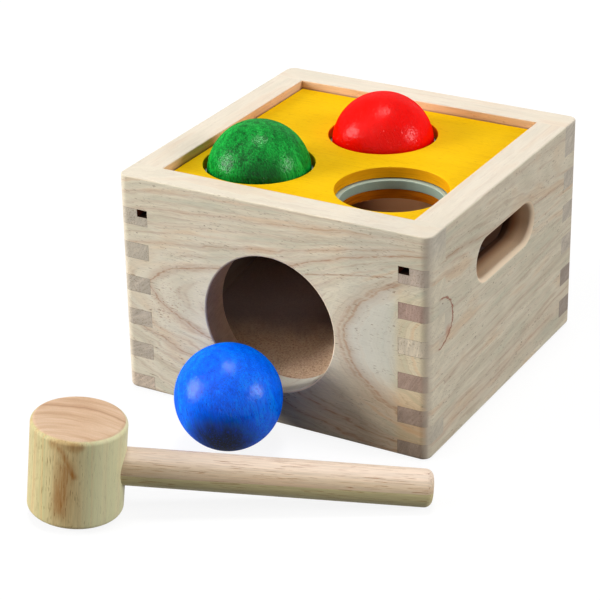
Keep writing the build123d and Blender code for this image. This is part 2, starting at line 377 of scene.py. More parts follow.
def front_rings(paint):
    """The growth rings of the front board: nested arches with their points to the left.
    Returns the ring value, how fast it changes per mm, and the height over the arches' axis."""
    along = paint.div(paint.x, arch_length)
    square = paint.mul(along, along)
    axis = paint.add(axis_height, paint.mul(along, axis_slope), paint.mul(square, axis_bend))
    over = paint.div(paint.sub(paint.z, axis), arch_height)
    growth = paint.add(paint.mul(along, spread_slope), paint.mul(square, spread_bend))
    weight = paint.mul(spread, paint.math("EXPONENT", growth))
    cubic = paint.mul(square, along, point_curve)
    start = paint.add(paint.mul(along, point_slope), paint.mul(square, point_bend), cubic)
    arch = paint.mul(weight, over, over, paint.add(1, paint.mul(over, arch_skew)))
    depth = paint.mul(paint.add(paint.y, box_half_depth), rings_per_mm_deep)
    value = paint.add(start, arch, depth)
    return value, ring_speed(paint, along, square, weight, over), over


def ring_speed(paint, along, square, weight, over):
    """How fast the front board's ring value changes per mm, from its two slopes."""
    widening, curve, least = 0.3, -1.52, 0.00002
    up = paint.div(paint.mul(weight, over, 2), arch_height)
    slope = paint.add(point_slope, paint.mul(along, 2 * point_bend), paint.mul(square, curve))
    side = paint.div(paint.add(slope, paint.mul(weight, over, over, widening)), arch_length)
    return paint.reach(up, side, least)


def straight_rings(paint, along, up, depth):
    """Nearly straight rings that draw together towards the far end, in mm of height."""
    length, depth_slope = 124, 0.6
    share = paint.div(paint.add(along, inner_half_depth), length)
    pulls = []
    for middle, reach, amount in ((84, 14, -15), (32, 22, 8)):
        off = paint.div(paint.sub(up, middle), reach)
        pulls.append(paint.mul(amount, paint.math("EXPONENT", paint.mul(off, off, -1))))
    return paint.add(up, paint.mul(share, paint.add(*pulls), -1), paint.mul(depth, depth_slope))


def ring_marks(paint, value, marks, breakup, speed=1.0, over=1.0):
    """Thin brown ring lines, each a broken line in a soft, wider one."""
    line_reach, line_share = 1.3, 0.8
    soft_reach, soft_share = 5, 0.36
    total = 0.0
    for level, width, strength, *side in marks:
        away = paint.div(paint.size(paint.sub(value, level)), speed)
        line = paint.fade(away, 0.0, width * line_reach, start=strength * line_share)
        soft = paint.fade(away, 0.0, width * soft_reach, start=strength * soft_share)
        line = paint.most(paint.mul(line, breakup), soft)
        if side:
            line = paint.mul(line, paint.step(paint.mul(over, *side), -0.02, 0.12))
        total = paint.most(total, line)
    return paint.mul(total, 0.95)


def board_colour(paint, grain, rings, shift, tint):
    """Colour of a board: bands that follow the rings, streaks along them and fine fibres.
    grain and rings are the place, measured along the grain and along the rings."""
    bands = paint.noise((80, 9, 9), rings, detail=3, rough=0.55, shift=shift)
    patches = paint.noise((26, 18, 14), rings, shift=shift + 1)
    tone = paint.add(paint.mul(bands, 0.6), paint.mul(patches, 0.4))
    paint.colour = paint.ramp(tone, [(0.36, COOL), (0.46, MIDDLE), (0.53, LIGHT), (0.62, WARM)])
    streaks = paint.noise((45, 1.5, 1.3), rings, detail=3, rough=0.65, shift=shift + 3)
    fibres = paint.noise((7, 0.5, 0.5), grain, rough=0.65, shift=shift + 7)
    veins = paint.noise((34, 2.6, 2.0), rings, rough=0.6, shift=shift + 9)
    change = paint.add(paint.swing(streaks, 0.28), paint.swing(fibres, 0.3), 1.0)
    paint.vary(change)
    paint.lay(paint.step(veins, 0.56, 0.68, end=0.2), BROWN)
    paint.colour = paint.tint(paint.colour, tint)


def end_grain(paint, across, up, tone, angle, contrast, shift):
    """End grain in the fingers: rings as slanted streaks and small dark pores. Each row of
    fingers has a pattern and an angle of its own."""
    row = paint.math("FLOOR", paint.div(up, finger_pitch))
    turn = paint.add(angle, paint.mul(paint.math("SINE", paint.mul(row, 5.1)), 0.3))
    cosine, sine = paint.math("COSINE", turn), paint.math("SINE", turn)
    along = paint.add(paint.mul(across, cosine), paint.mul(up, sine), paint.mul(row, 37))
    off = paint.sub(paint.mul(up, cosine), paint.mul(across, sine))
    spot = paint.join(along, off, paint.mul(row, 11))
    rings = paint.noise((9, 1.0, 30), spot, rough=0.6, shift=shift)
    slow = paint.noise((7, 3.5, 30), spot, detail=1, shift=shift + 2)
    speck = paint.noise((0.7, 0.7, 30), spot, detail=1, shift=shift + 5)
    change = paint.add(paint.swing(rings, 0.7), paint.swing(slow, 0.6))
    colour = paint.shade(tone, paint.add(1, paint.mul(change, contrast)))
    return paint.mix(paint.mul(paint.step(speck, 0.56, 0.68), contrast, 0.4), colour, PORE)


def groove_mask(paint):
    """The open ends of the groove that holds the lower plate, in the front and back corners."""
    side = paint.within(paint.size(paint.x), inner_half_width - 0.3, groove_side + 0.2, 0.1)
    height = paint.within(paint.z, plate_bottom - 0.1, groove_top + 0.8, 0.1)
    deep = paint.within(paint.size(paint.y), inner_half_depth, box_half_depth - 0.4, 0.3)
    return paint.mul(side, height, deep, paint.fade(paint.along(ALONG_Y), 0.3, 0.7))


def corner_sheen(paint, top):
    """Painted sheen on the upright corners of the box."""
    soft_start, soft_end, strength = 4, 1.5, 0.45
    sides = paint.step(paint.size(paint.x), box_half_width - soft_start, box_half_width - soft_end)
    fronts = paint.step(paint.size(paint.y), box_half_depth - soft_start, box_half_depth - soft_end)
    amount = paint.mul(paint.mul(sides, fronts), paint.inverse(top), strength)
    # Painted sheen: the rounded corners made lighter.
    paint.lay(amount, CORNER_SHEEN)


def inside_faces(paint, grain, inner, top, shift):
    """The faces inside the box: raw and dusty under the top plate, and the low wall over it, with a thin
    darker line where the two meet. inner is the colour laid under the plate, which on the side boards is
    painted shade; the low wall gets painted shade, tinted orange as by light from the yellow plate."""
    margin, strength = 0.4, 0.92
    inside = paint.mul(
        paint.within(paint.x, -inner_half_width - margin, inner_half_width + margin, 0.1),
        paint.within(paint.y, -inner_half_depth - margin, inner_half_depth + margin, 0.1),
    )
    above = paint.step(paint.z, plate_top - 0.6, plate_top)
    paint.lay(paint.mul(inside, paint.inverse(above), strength), inner)
    wall = paint.mul(inside, above, paint.inverse(top))
    # The low wall over the plate: painted shade, tinted orange as by light from the yellow plate.
    wall_grain = paint.noise((30, 1.4, 1.4), grain, detail=3, rough=0.65, shift=shift + 19)
    wall_shade = paint.shade(RIM_WALL_SHADE, paint.add(1.0, paint.swing(wall_grain, 1.0)))
    paint.lay(paint.mul(wall, 0.55), wall_shade)
    # A thin darker line at the foot of the wall, where it meets the plate.
    foot_line = paint.mul(wall, paint.fade(paint.z, plate_top + 0.15, plate_top + 0.7, start=0.4))
    paint.lay(foot_line, RIM_FOOT_LINE)


def panel_surface(paint, grain, lines, ends, lit_edge, inner, shift):
    """Joins the board, its lines, the vessels and the end grain, and adds the finish. ends says where the
    end grain is and its colour, and the next argument says where the rounded edges get a painted
    highlight."""
    top = paint.facing(ALONG_Z, 0.6, 0.9)
    paint.lay(paint.mul(lines, paint.step(top, 0, 1, start=1.0, end=0.35)), BROWN)
    clusters = paint.noise((18, 5, 5), grain, shift=shift + 11)
    vessels = paint.vessels(grain, 2.6, 0.42, 0.645, shift=shift + 13)
    amount = paint.step(clusters, 0.38, 0.62, start=0.12, end=0.65)
    vessels = paint.mul(vessels, amount, paint.step(top, 0, 1, start=1.0, end=0.5))
    paint.lay(vessels, PORE)
    on_rim = paint.mul(top, paint.step(paint.z, plate_top, plate_top + 2), 0.55)
    paint.lay(on_rim, RIM)
    paint.lay(*ends)
    # Painted highlight on the rounded edges.
    paint.lay(lit_edge, EDGE_HIGHLIGHT)
    corner_sheen(paint, top)
    inside_faces(paint, grain, inner, top, shift)
    # Painted shade in the open ends of the groove.
    groove_shade = paint.mix(paint.facing(ALONG_X), GROOVE_SHADE, GROOVE_WALL_SHADE)
    paint.lay(groove_mask(paint), groove_shade)
    rough = paint.noise((30, 2, 2), grain)
    fibres = paint.noise((8, 0.35, 0.35), grain, rough=0.6, shift=shift + 17)
    height = paint.sub(paint.mul(fibres, 0.35), paint.add(vessels, paint.mul(lines, 0.25)))
    paint.bump(height, 0.1)
    return paint.finish(paint.step(rough, 0.3, 0.7, start=0.5, end=0.66))


def front_wall_paint():
    """Front panel: arched rings, grain along X, end grain in its fingers and the exit hole."""
    shift = 4.0
    paint = Paint("front panel wood")
    x, y, z = paint.x, paint.y, paint.z
    value, speed, over = front_rings(paint)
    wobble = paint.noise((26, 12, 5), shift=shift)
    jitter = paint.noise((5, 5, 1.2), detail=1, shift=shift + 1)
    drift = paint.add(paint.swing(wobble, 4.5), paint.swing(jitter, 1.2))
    value = paint.add(value, paint.mul(drift, speed))
    breakup = paint.step(paint.noise((7, 6, 1.5), shift=shift + 2), 0.3, 0.55, start=0.45)
    lines = ring_marks(paint, value, FRONT_MARKS, breakup, speed, over)
    lines = paint.most(lines, paint.mul(side_branch(paint), breakup))
    grain = paint.join(x, y, paint.add(z, paint.mul(x, 0.06), paint.mul(drift, -0.5)))
    rings = paint.join(x, paint.mul(y, 0.4), paint.mul(value, ring_scale))
    board_colour(paint, grain, rings, shift, FRONT_TINT)
    front_tones(paint, value)
    brown_flecks(paint, grain)
    lit_edge = exit_edge(paint)
    ends = (paint.facing(ALONG_X), end_grain(paint, y, z, front_end_tone(paint), 0.5, 0.55, shift))
    return panel_surface(paint, grain, lines, ends, lit_edge, INSIDE_FRONT, shift)


def side_branch(paint):
    """A thin ring line that branches off to the right, over the exit hole."""
    start, bend, end = (18, -79, 78), (38, -79, 82), (60, -79, 85.5)
    low_part = paint.near_line(paint.place, start, bend)
    high_part = paint.near_line(paint.place, bend, end)
    return paint.fade(paint.math("MINIMUM", low_part, high_part), 0.1, 0.7, start=0.5)


def front_tones(paint, value):
    """The front board's broad tones: greyer at the upper right, darker and warmer at the lower right as a
    painted shadow of the blue ball, yellower at the right corner, and pale in the heart of the arches."""
    x, z = paint.x, paint.z
    upper = paint.step(z, 22, 44)
    greyer = paint.tint(paint.colour, GREYER)
    paint.lay(paint.mul(paint.step(x, 32, 44), upper), greyer)
    # Painted shadow of the blue ball at the lower right.
    painted_shadow = paint.tint(paint.colour, BALL_SHADOW_TINT)
    paint.lay(paint.mul(paint.step(x, 0, 24), paint.inverse(upper)), painted_shadow)
    yellower = paint.tint(paint.colour, YELLOWER)
    corner = paint.mul(paint.step(x, 60, 65), paint.step(z, 74, 84, start=0.85, end=0.2))
    paint.lay(corner, yellower)
    heart = paint.mul(paint.fade(value, -0.97, -0.85, start=0.5), paint.fade(x, 57, 63))
    paint.lay(paint.mul(heart, upper), HEART)


def brown_flecks(paint, grain):
    """A patch of short brown dashes to the left of the exit hole."""
    middle = (-54, -79, 48)
    near = paint.fade(paint.vector("DISTANCE", paint.place, middle), 6, 16)
    dashes = paint.vessels(grain, 2.2, 0.5, 0.6, shift=30)
    paint.lay(paint.mul(near, dashes, 0.6), BROWN)


def front_end_tone(paint):
    """Tone of the front board's end grain: by height in the fingers, warmer in the exit hole."""
    hole_wall = paint.within(paint.x, exit_x - exit_radius - 2, exit_x + exit_radius + 2, 1)
    return paint.mix(hole_wall, paint.ramp(paint.z, FRONT_END_STOPS), EXIT_WALL)


def exit_edge(paint):
    """Lays painted light on the ledge at the bottom of the exit hole. Returns where its rounded edge is,
    which gets a painted highlight.
    """
    reach = paint.vector("DISTANCE", paint.join(paint.x, 0, paint.z), (exit_x, 0, exit_z))
    rim = paint.within(reach, exit_radius - 0.5, exit_radius + 2.0, 0.5)
    lit_ledge = paint.mul(rim, paint.facing(ALONG_Z, 0.5, 0.85))
    lean = paint.along(ALONG_Y)
    # Painted light on the upward faces of the ledge.
    paint.lay(lit_ledge, EXIT_LEDGE_LIGHT)
    return paint.mul(rim, paint.step(lean, 0.1, 0.3), paint.fade(lean, 0.9, 0.98, start=0.75))


def back_wall_paint():
    """Back panel: nearly straight rings along X."""
    shift = 23.0
    paint = Paint("back panel wood")
    x, y, z = paint.x, paint.y, paint.z
    wobble = paint.noise((34, 12, 6), shift=shift)
    drift = paint.swing(wobble, 5.0)
    value = paint.add(straight_rings(paint, x, z, paint.sub(y, inner_half_depth)), drift)
    breakup = paint.step(paint.noise((12, 6, 1.5), shift=shift + 2), 0.35, 0.6, start=0.3)
    lines = ring_marks(paint, value, BACK_MARKS, breakup)
    grain = paint.join(x, y, paint.add(z, paint.mul(drift, -0.5)))
    board_colour(paint, grain, paint.join(x, y, value), shift, SIDE_TINT)
    end_tone = paint.ramp(z, BACK_END_STOPS)
    ends = (paint.facing(ALONG_X), end_grain(paint, y, z, end_tone, 0.5, 0.8, shift))
    # The inside face darkens towards the right: painted shade.
    inner = paint.mix(paint.step(x, 0, 22, end=0.8), INSIDE_BACK, INSIDE_SIDE_SHADE)
    return panel_surface(paint, grain, lines, ends, 0.0, inner, shift)


def side_wall_paint(name, sign, shift, marks, rows, angle, tint):
    """Left panel (sign -1) and right panel (sign 1), whose grain runs along Y. rows are the
    tones of the finger ends, from the bottom up, and angle is how their streaks slant."""
    paint = Paint(name)
    x, y, z = paint.x, paint.y, paint.z
    spot = paint.join(y, x, z)
    wobble = paint.noise((34, 10, 6), spot, shift=shift)
    jitter = paint.noise((6, 6, 1.2), spot, detail=1, shift=shift + 1)
    drift = paint.add(paint.swing(wobble, 3.0), paint.swing(jitter, 0.8))
    depth = paint.sub(paint.mul(x, sign), box_half_width)
    value = paint.add(straight_rings(paint, y, z, depth), drift)
    breakup = paint.step(paint.noise((12, 5, 1.5), spot, shift=shift + 2), 0.35, 0.6, start=0.35)
    lines = paint.mul(ring_marks(paint, value, marks, breakup), 0.85)
    grain = paint.join(y, x, paint.add(z, paint.mul(drift, -0.7)))
    board_colour(paint, grain, paint.join(y, x, value), shift, tint)
    if sign > 0:
        lines = bark_line(paint, lines)
    tone = paint.ramp(paint.div(z, finger_pitch), list(enumerate(rows)), steps=True)
    ends_colour = end_grain(paint, x, z, tone, angle, 1.0, shift)
    ends_colour = paint.mix(finger_outline(paint), ends_colour, GLUE)
    walls, wall_shade, lit_edge = slot_wall(paint, sign)
    fingers = paint.step(paint.size(y), inner_half_depth - 2, inner_half_depth)
    ends = (paint.facing(ALONG_Y), paint.mix(fingers, wall_shade, ends_colour))
    # Painted light and shade on the hand slot's wall.
    paint.lay(walls, wall_shade)
    # The side boards' inside faces get painted shade.
    return panel_surface(paint, grain, lines, ends, lit_edge, INSIDE_SIDE_SHADE, shift)


def slot_wall(paint, sign):
    """The hand slot's wall, with painted light at the lip and painted shade deeper into the board.
    Returns where it is, its painted tone, and where its rounded edge is, which gets a painted highlight.
    """
    inward = paint.sub(box_half_width, paint.size(paint.x))
    wall_shade = paint.ramp(inward, SLOT_WALL_SHADE_STOPS)
    start = (sign * box_half_width, slot_y - slot_half_straight, slot_z)
    end = (sign * box_half_width, slot_y + slot_half_straight, slot_z)
    near_slot = paint.near_line(paint.place, start, end)
    lean = paint.along(ALONG_X)
    lip = paint.mul(paint.step(lean, 0.1, 0.3), paint.fade(lean, 0.9, 0.99, start=0.85))
    lit_edge = paint.mul(lip, paint.fade(near_slot, slot_reach + 3, slot_reach + 4.5))
    # Deep in the slot the painted shade also covers the inner edge.
    sunk = paint.most(paint.fade(lean, 0.1, 0.3, start=0.95), paint.step(inward, 11, 12))
    walls = paint.mul(paint.fade(near_slot, 20, 22), sunk)
    return walls, wall_shade, lit_edge


def finger_outline(paint):
    """A thin glue line round the end of each finger."""
    across = paint.band(paint.size(paint.x), inner_half_width, 0.35)
    height = paint.math("MODULO", paint.z, finger_pitch)
    below, above = paint.band(height, 0.0, 0.3), paint.band(height, finger_height, 0.35)
    return paint.mul(paint.most(across, below, above), 0.5)


def bark_line(paint, lines):
    """A reddish line round an ingrown patch near the front of the right panel. Returns the
    ring lines, weaker in the patch."""
    middle_y, middle_z, half_length, half_height = -70, 63, 14, 12
    blot_middle = (78, -60.5, 56.5)
    outer = paint.step(paint.x, box_half_width - 2, box_half_width - 0.5)
    side = paint.div(paint.sub(paint.y, middle_y), half_length)
    height = paint.div(paint.sub(paint.z, middle_z), half_height)
    wobble = paint.noise((2.2, 2.2, 2.2), shift=3)
    reach = paint.add(paint.reach(side, height), paint.swing(wobble, 0.25))
    right = paint.step(side, -0.05, 0.1)
    inside = paint.mul(paint.fade(reach, 0.85, 1.0, start=0.6), right, outer)
    line = paint.mul(paint.band(reach, 1.0, 0.075), right, outer, 0.9)
    spot = paint.vector("DISTANCE", paint.place, blot_middle)
    blot = paint.mul(paint.fade(spot, 1.0, 4.0, start=0.55), outer)
    paint.lay(paint.mul(inside, 0.5), BARK_PATCH)
    paint.lay(blot, BARK_BLOT)
    paint.lay(line, BARK)
    return paint.mul(lines, paint.inverse(paint.mul(inside, 0.8)))


# Tones of the plates, the rings, the ramp and the screws

YELLOW_TONES = (srgb(240, 190, 15), srgb(242, 193, 17), srgb(244, 196, 19))
YELLOW_GRAIN, YELLOW_PORE = srgb(214, 152, 6), srgb(196, 128, 8)
TOP_EDGE_TONES = (srgb(210, 142, 8), srgb(228, 160, 14), srgb(218, 150, 10))
# The next line's tones are the cut edges' own browner colour with painted shade, since they lie deeper in
# the hole than the top plate's edges.
LOWER_EDGE_SHADE_TONES = (srgb(164, 84, 8), srgb(194, 110, 12), srgb(178, 96, 10))
PLY_TONES, PLY_EDGE = (srgb(176, 142, 102), srgb(204, 172, 130), srgb(190, 156, 114)), srgb(126, 92, 62)
RUBBER_DARK, RUBBER_LIGHT = srgb(166, 184, 170), srgb(184, 200, 186)
# The first colour on the next line is painted shade for the sides of the rubber rings.
RUBBER_SIDE_SHADE, RUBBER_DUST = srgb(132, 150, 134), srgb(206, 214, 204)
BOARD_TONES = (srgb(148, 112, 86), srgb(190, 152, 122), srgb(218, 184, 150))
# The next line's tones are painted light for the ramp near the exit hole; the last colour of the line
# after it is painted shade for the ramp further in.
LIT_BOARD_TONES = (srgb(204, 160, 124), srgb(244, 206, 168), srgb(253, 230, 198))
BOARD_BLOTCH, BOARD_FIBRE, BOARD_SHADE = srgb(144, 108, 82), srgb(92, 64, 46), srgb(146, 130, 132)
ZINC_DARK, ZINC_LIGHT = srgb(176, 178, 180), srgb(212, 212, 208)


def yellow_paint(name, shift, edge_tones):
    """Plywood stained yellow: faint grain shows through, and the cut edges are browner."""
    paint = Paint(name, level=0.0)
    paint.lacquer(0.02, 0.4)
    slow = paint.noise((80, 16, 16), shift=shift)
    paint.colour = paint.tones(slow, YELLOW_TONES)
    grain = paint.noise((40, 1.1, 1.1), detail=3, rough=0.6, shift=shift + 2)
    paint.lay(paint.step(grain, 0.48, 0.72, end=0.26), YELLOW_GRAIN)
    fibres = paint.noise((6, 0.5, 0.5), rough=0.6, shift=shift + 3)
    paint.vary(paint.add(1, paint.swing(fibres, 0.12)))
    vessels = paint.mul(paint.vessels(paint.place, 4.0, 0.4, 0.63, shift=shift + 4), 0.4)
    paint.lay(vessels, YELLOW_PORE)
    edge = paint.inverse(paint.facing(ALONG_Z, 0.35, 0.7))
    ply = paint.noise((14, 14, 0.9), shift=shift + 5)
    paint.lay(edge, paint.tones(ply, edge_tones))
    paint.bump(paint.sub(paint.mul(grain, 0.3), vessels), 0.08)
    return paint.finish(paint.step(grain, 0.3, 0.7, start=0.42, end=0.55))


def plain_ply_paint():
    """The unfinished middle layer, with its plies in the edges."""
    waves_per_mm = 3.7
    paint = Paint("plain ply")
    layer = paint.math("SINE", paint.mul(paint.z, waves_per_mm))
    grain = paint.noise((30, 1.2, 1.2), detail=3, rough=0.6)
    paint.colour = paint.tones(grain, PLY_TONES)
    edge = paint.inverse(paint.facing(ALONG_Z, 0.35, 0.7))
    paint.lay(paint.mul(edge, paint.step(layer, -0.2, 0.4, end=0.45)), PLY_EDGE)
    paint.bump(grain, 0.08)
    return paint.finish(0.7)


def rubber_paint():
    """Grey-green rubber with a faint moulded texture, a little dust, and painted shade on its sides."""
    paint = Paint("ring rubber", level=0.2)
    mottle = paint.noise((5, 5, 5), detail=3)
    speck = paint.noise((0.5, 0.5, 0.5), shift=2)
    paint.colour = paint.ramp(mottle, [(0.3, RUBBER_DARK), (0.7, RUBBER_LIGHT)])
    # Painted shade on the faces that don't look up.
    side = paint.fade(paint.along(ALONG_Z), 0.35, 0.8, start=0.75)
    paint.lay(side, RUBBER_SIDE_SHADE)
    paint.lay(paint.step(speck, 0.6, 0.75, end=0.3), RUBBER_DUST)
    paint.bump(speck, 0.05)
    return paint.finish(paint.step(mottle, 0.3, 0.7, start=0.5, end=0.65))


def hardboard_paint():
    """Brown hardboard: pressed fibres, with painted light towards the exit hole and painted shade further
    into the box.
    """
    paint = Paint("hardboard", level=0.2)
    tone_places = (0.34, 0.5, 0.68)
    speckle = paint.noise((0.9, 0.9, 0.9), detail=3, rough=0.75)
    blotch = paint.noise((12, 12, 12), detail=3, shift=3)
    fibres = paint.noise((2.6, 0.5, 0.5), rough=0.6, shift=5)
    paint.colour = paint.tones(speckle, BOARD_TONES, tone_places)
    painted_light = paint.tones(speckle, LIT_BOARD_TONES, tone_places)
    paint.lay(paint.step(blotch, 0.4, 0.7, end=0.35), BOARD_BLOTCH)
    paint.lay(paint.step(fibres, 0.6, 0.7, end=0.5), BOARD_FIBRE)
    inward = paint.add(paint.y, paint.mul(paint.x, -0.35), paint.swing(blotch, 12))
    # Painted shade further into the box, a darker board overall, then painted light towards the exit
    # hole.
    paint.lay(paint.step(inward, -54, -22, end=0.75), BOARD_SHADE)
    paint.vary(0.8)
    paint.lay(paint.fade(inward, -44, -12), painted_light)
    paint.bump(paint.add(speckle, fibres), 0.06)
    return paint.finish(0.6)


def steel_paint():
    """Zinc-plated steel with turning marks and dull patches."""
    paint = Paint("zinc steel", level=0.5)
    paint.shader.inputs["Metallic"].default_value = 1.0
    patch = paint.noise((1.5, 1.5, 1.5), detail=3)
    fine = paint.noise((0.3, 0.3, 0.1), shift=2)
    paint.colour = paint.ramp(patch, [(0.3, ZINC_DARK), (0.7, ZINC_LIGHT)])
    paint.bump(fine, 0.02, 0.4)
    return paint.finish(paint.step(patch, 0.3, 0.7, start=0.28, end=0.5))


# Balls: three tones each, from deep to light, and a darker patch, as (direction from the centre, start,
# full, strength, colour). On the green and red balls the patch took up more stain; on the blue ball it is
# partly stain and partly painted shade underneath.

ball_radius = 24.0
GREEN = (srgb(0, 68, 20), srgb(8, 142, 48), srgb(34, 184, 68))
RED = (srgb(214, 2, 0), srgb(246, 5, 0), srgb(252, 14, 1))
BLUE = (srgb(0, 62, 204), srgb(0, 104, 255), srgb(0, 148, 255))
GREEN_PATCH = ((0.488, -0.857, 0.143), 0.8, 1.02, 0.88, srgb(6, 44, 14))
RED_PATCH = ((0.488, -0.857, 0.1), 0.7, 1.0, 0.4, srgb(190, 16, 2))
# The blue ball's patch is partly stain and partly painted shade on its underside.
BLUE_PATCH_AND_SHADE = ((0.32, -0.82, -0.475), 0.7, 1.0, 0.96, srgb(0, 14, 32))
BALLS = (
    # node, material, centre, turn of the grain, tones, contrast, vessels' share, patch, gloss
    ("green_ball", "green stain", (-33, -30, 98.8), (0.3, 1.3, 0.4), GREEN, 1.2, 0.8, GREEN_PATCH, 0.062),
    ("red_ball", "red stain", (1, 27.4, 98.8), (0.2, 1.0, -0.5), RED, 0.45, 0.25, RED_PATCH, 0.056),
    ("blue_ball", "blue stain", (-7.1, -105, 24), (0.1, 1.4, 0.2), BLUE, 0.8, 0.85, BLUE_PATCH_AND_SHADE, 0.085),
)


def ball_paint(name, centre, turn, tones, contrast, vessel_share, patch, gloss):
    """Stained wood, turned to a ball. Its grain runs along an axis through the centre, so it
    streaks the sides and shows as rings at the two ends. gloss is the lacquer's weight."""
    paint = Paint(name, level=0.0)
    paint.lacquer(gloss, 0.18)
    spot = paint.turned(paint.place, centre, turn)
    streaks = paint.noise((16, 1.5, 1.5), spot, detail=3, rough=0.65, shift=4)
    slow = paint.noise((30, 11, 11), spot, shift=2)
    fibres = paint.noise((5, 0.5, 0.5), spot, rough=0.6, shift=6)
    tone = paint.mul(ball_rings(paint, spot), 0.06)
    for pattern, weight in ((slow, 0.6), (streaks, 0.8), (fibres, 1.1)):
        tone = paint.add(tone, paint.swing(pattern, weight))
    deep, main, light = tones
    paint.colour = paint.ramp(paint.mul(tone, contrast), [(-0.4, deep), (0.0, main), (0.4, light)])
    direction, start, full, strength, dark = patch
    away = paint.vector("SUBTRACT", paint.place, centre)
    toward = paint.div(paint.vector("DOT_PRODUCT", away, direction), ball_radius)
    toward = paint.add(toward, paint.swing(streaks, 0.22), paint.swing(slow, 0.25))
    # The darker patch: stain, and on the blue ball partly painted shade.
    paint.lay(paint.step(toward, start, full, end=strength), dark)
    vessels = paint.vessels(spot, 1.7, 0.5, 0.61, shift=8)
    paint.lay(paint.mul(vessels, vessel_share), deep)
    pits = paint.noise((1.5, 1.3, 1.3), spot, rough=0.6, shift=9)
    pits = paint.step(pits, 0.35, 0.65)
    paint.bump(paint.sub(paint.add(paint.mul(fibres, 0.4), paint.mul(pits, 0.55)), vessels), 0.16)
    return paint.finish(paint.step(streaks, 0.3, 0.7, start=0.4, end=0.5))


def ball_rings(paint, spot):
    """Growth rings about a line beside the ball's centre, from -1 to 1."""
    heart_offset, waves_per_mm, bend_amount = 11, 1.5, 7
    across, up = paint.split(spot)[1:]
    bend = paint.noise((30, 12, 12), spot, shift=1)
    spread = paint.reach(paint.add(across, heart_offset), up)
    return paint.math("SINE", paint.add(paint.mul(spread, waves_per_mm), paint.mul(bend, bend_amount)))


# Mallet: its sizes and place as the frame has them

head_radius, head_length, head_edge = 20.4, 42.2, 2.2
handle_radius, handle_reach, handle_end = 8.2, 149.6, 3.5
handle_end_x, handle_end_gap = 95.3, 30.6
heading = math.radians(29.2)

HEAD_TONES = (srgb(192, 148, 90), srgb(218, 198, 146), srgb(204, 198, 146), srgb(222, 176, 118))
# The middle colour on the next line is painted light for the side of the head towards the handle.
HEAD_PORE, HEAD_PAINTED_LIGHT, HEAD_OLIVE = srgb(128, 92, 46), srgb(238, 236, 194), srgb(176, 156, 112)
HEAD_STAIN, HEAD_RING = srgb(164, 104, 38), srgb(150, 100, 70)
HEAD_END_TONES = (srgb(196, 158, 125), srgb(209, 175, 143), srgb(218, 188, 159))
HANDLE_TONES = (srgb(210, 184, 150), srgb(219, 196, 166), srgb(220, 192, 160))
# The first colour on the next line is painted light for the handle's upper side.
HANDLE_PAINTED_LIGHT, HANDLE_OLIVE, HANDLE_PORE = srgb(242, 222, 206), srgb(212, 200, 148), srgb(158, 100, 52)


def mallet_place():
    """Where the mallet's own axes are: X along the handle and Z along the head."""
    near_x, near_z = head_radius - head_edge, head_edge - head_length / 2
    far_x, far_z = handle_reach - handle_end, handle_end - handle_radius
    span = math.hypot(far_x - near_x, far_z - near_z)
    chord = math.atan2(far_z - near_z, far_x - near_x)
    tilt = chord - math.asin((handle_end - head_edge) / span)
    height = head_edge + math.sin(tilt) * near_x - math.cos(tilt) * near_z
    reach = handle_reach * math.cos(tilt)
    x = handle_end_x - reach * math.cos(heading)
    y = -box_half_depth - handle_end_gap - reach * math.sin(heading)
    return (x, y, height), (0.0, tilt, heading)


mallet_origin, mallet_turn = mallet_place()


def head_paint():
    """Rubberwood with its grain along the head: flecked sides, pinkish ringed ends, and painted light on
    the side towards the handle.
    """
    paint = Paint("mallet head wood")
    spot = paint.turned(paint.place, mallet_origin, mallet_turn)
    x, y, z = paint.split(spot)
    grain = paint.join(z, x, y)
    bend = paint.noise((60, 14, 14), grain, shift=1)
    across = paint.add(y, paint.mul(x, 0.18), paint.mul(x, x, 0.012), paint.swing(bend, 5))
    bands = paint.noise((1, 5.5, 1), paint.join(0.0, across, 0.0), detail=3, rough=0.6, shift=2)
    paint.colour = paint.tones(bands, HEAD_TONES, (0.34, 0.45, 0.56, 0.66))
    streaks = paint.noise((40, 0.9, 0.9), grain, detail=3, rough=0.65, shift=3)
    fibres = paint.noise((9, 0.5, 0.5), grain, rough=0.6, shift=4)
    tone = paint.add(1.0, paint.swing(streaks, 0.6), paint.swing(fibres, 0.45))
    paint.vary(tone)
    vessels = paint.vessels(grain, 4.0, 0.36, 0.63, shift=5)
    paint.lay(paint.mul(vessels, 0.65), HEAD_PORE)
    # Painted light on the side of the head towards the handle.
    paint.lay(paint.step(x, -2, 12, end=0.65), HEAD_PAINTED_LIGHT)
    paint.lay(paint.fade(x, -20, -9, start=0.35), HEAD_OLIVE)
    head_stains(paint, spot)
    end_colour = head_end_colour(paint, across, x, fibres)
    axis = Euler(mallet_turn).to_matrix() @ Vector(ALONG_Z)
    paint.lay(paint.facing(tuple(axis), 0.75, 0.95), end_colour)
    paint.bump(paint.sub(paint.mul(fibres, 0.3), vessels), 0.09)
    return paint.finish(paint.step(bands, 0.3, 0.7, start=0.45, end=0.58))


